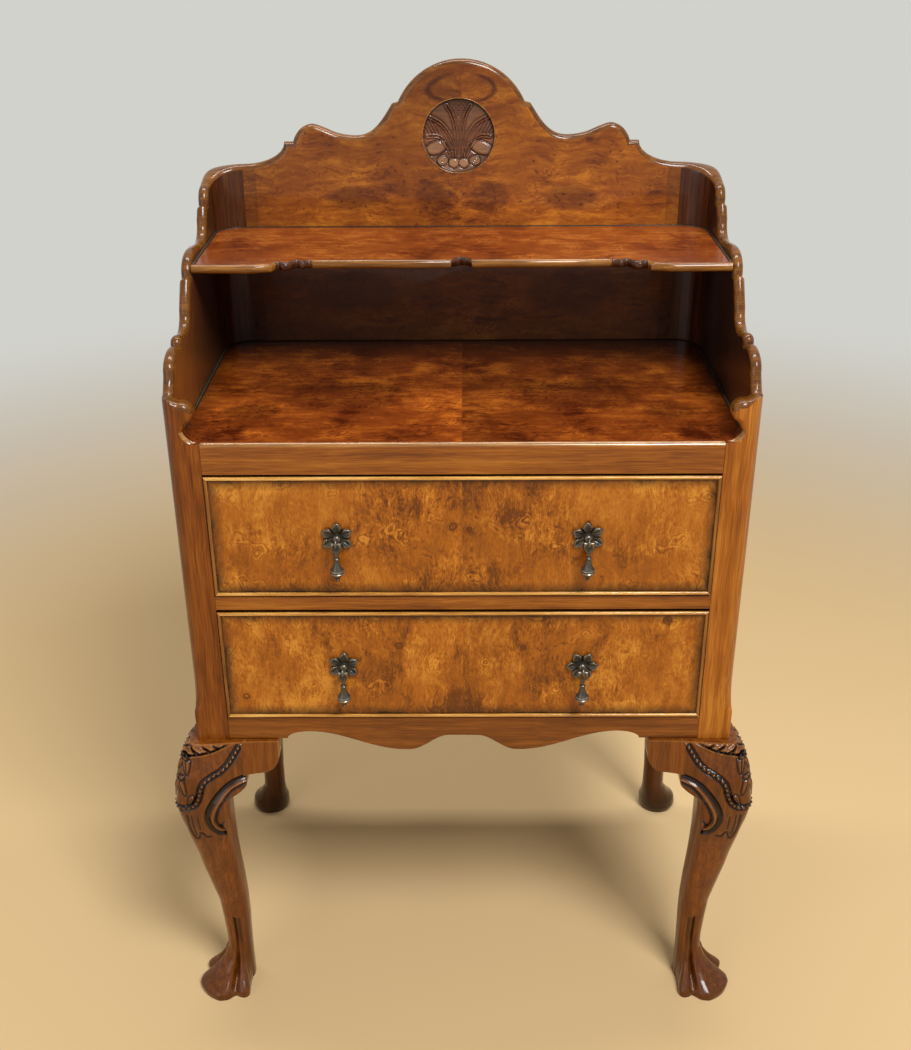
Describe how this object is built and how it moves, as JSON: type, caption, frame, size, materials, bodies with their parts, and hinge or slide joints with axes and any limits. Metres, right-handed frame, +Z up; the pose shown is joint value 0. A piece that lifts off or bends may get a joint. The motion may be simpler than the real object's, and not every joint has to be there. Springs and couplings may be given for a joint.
{
  "type": "nightstand",
  "caption": "Walnut bedside chest with full-width drawers on carved cabriole legs, under a stepped three-sided gallery with an arched back and a small shelf.",
  "frame": {"origin": "on the floor, under the middle of the object's box", "axes": "+Z up, -Y towards the drawer fronts, +X to the right of someone facing them"},
  "size_m": [0.559, 0.3436, 0.8835],
  "materials": {
    "burr_walnut": "polished book-matched burr veneer",
    "top_walnut": "high polish",
    "rail_walnut": "polished straight grain",
    "leg_walnut": "dark polished carving",
    "bead_walnut": "polished bead",
    "drawer_oak": "plain planed",
    "back_wood": "unpolished",
    "bronze": "dark antique",
    "steel": "plain"
  },
  "bodies": {
    "carcass": {"side_panel_left": "rail_walnut", "side_panel_right": "rail_walnut", "front_stile_left": "rail_walnut", "front_stile_right": "rail_walnut", "top_rail": "rail_walnut", "divider_rail": "rail_walnut", "bottom_rail": "rail_walnut", "top_board": "top_walnut", "gallery_back": "burr_walnut", "gallery_corner_left": "rail_walnut", "gallery_corner_right": "rail_walnut", "gallery_shelf": "top_walnut", "carved_roundel": "leg_walnut", "carcass_back": "back_wood", "base_board": "back_wood", "upper_runner_left": "drawer_oak", "upper_runner_right": "drawer_oak", "lower_runner_left": "drawer_oak", "lower_runner_right": "drawer_oak", "kicker_left": "drawer_oak", "kicker_right": "drawer_oak", "front_leg_left": "leg_walnut", "front_leg_right": "leg_walnut", "back_leg_left": "leg_walnut", "back_leg_right": "leg_walnut", "front_leg_front_ear_left": "leg_walnut", "front_leg_front_ear_right": "leg_walnut", "front_leg_side_ear_left": "leg_walnut", "front_leg_side_ear_right": "leg_walnut", "back_leg_side_ear_left": "leg_walnut", "back_leg_side_ear_right": "leg_walnut"},
    "upper_drawer": {"upper_drawer_front": "burr_walnut", "upper_drawer_cockbead": "bead_walnut", "upper_drawer_side_left": "drawer_oak", "upper_drawer_side_right": "drawer_oak", "upper_drawer_bottom": "drawer_oak", "upper_drawer_back": "drawer_oak", "upper_left_plate": "bronze", "upper_left_eye_bolt": "bronze", "upper_left_nut": "steel", "upper_right_plate": "bronze", "upper_right_eye_bolt": "bronze", "upper_right_nut": "steel"},
    "lower_drawer": {"lower_drawer_front": "burr_walnut", "lower_drawer_cockbead": "bead_walnut", "lower_drawer_side_left": "drawer_oak", "lower_drawer_side_right": "drawer_oak", "lower_drawer_bottom": "drawer_oak", "lower_drawer_back": "drawer_oak", "lower_left_plate": "bronze", "lower_left_eye_bolt": "bronze", "lower_left_nut": "steel", "lower_right_plate": "bronze", "lower_right_eye_bolt": "bronze", "lower_right_nut": "steel"},
    "upper_left_handle": {"upper_left_drop": "bronze"},
    "upper_right_handle": {"upper_right_drop": "bronze"},
    "lower_left_handle": {"lower_left_drop": "bronze"},
    "lower_right_handle": {"lower_right_drop": "bronze"}
  },
  "joints": [
    {"name": "upper_drawer_slide", "type": "slide", "parent": "carcass", "child": "upper_drawer", "axis": [0, -1, 0], "range_m": [0, 0.19]},
    {"name": "lower_drawer_slide", "type": "slide", "parent": "carcass", "child": "lower_drawer", "axis": [0, -1, 0], "range_m": [0, 0.19]},
    {"name": "upper_left_drop_swing", "type": "hinge", "parent": "upper_drawer", "child": "upper_left_handle", "pos_m": [-0.1085, -0.15484, 0.52525], "axis": [-1, 0, 0], "range_deg": [-8, 100]},
    {"name": "upper_right_drop_swing", "type": "hinge", "parent": "upper_drawer", "child": "upper_right_handle", "pos_m": [0.1085, -0.15484, 0.52525], "axis": [-1, 0, 0], "range_deg": [-8, 100]},
    {"name": "lower_left_drop_swing", "type": "hinge", "parent": "lower_drawer", "child": "lower_left_handle", "pos_m": [-0.1085, -0.15484, 0.394], "axis": [-1, 0, 0], "range_deg": [-8, 100]},
    {"name": "lower_right_drop_swing", "type": "hinge", "parent": "lower_drawer", "child": "lower_right_handle", "pos_m": [0.1085, -0.15484, 0.394], "axis": [-1, 0, 0], "range_deg": [-8, 100]}
  ]
}
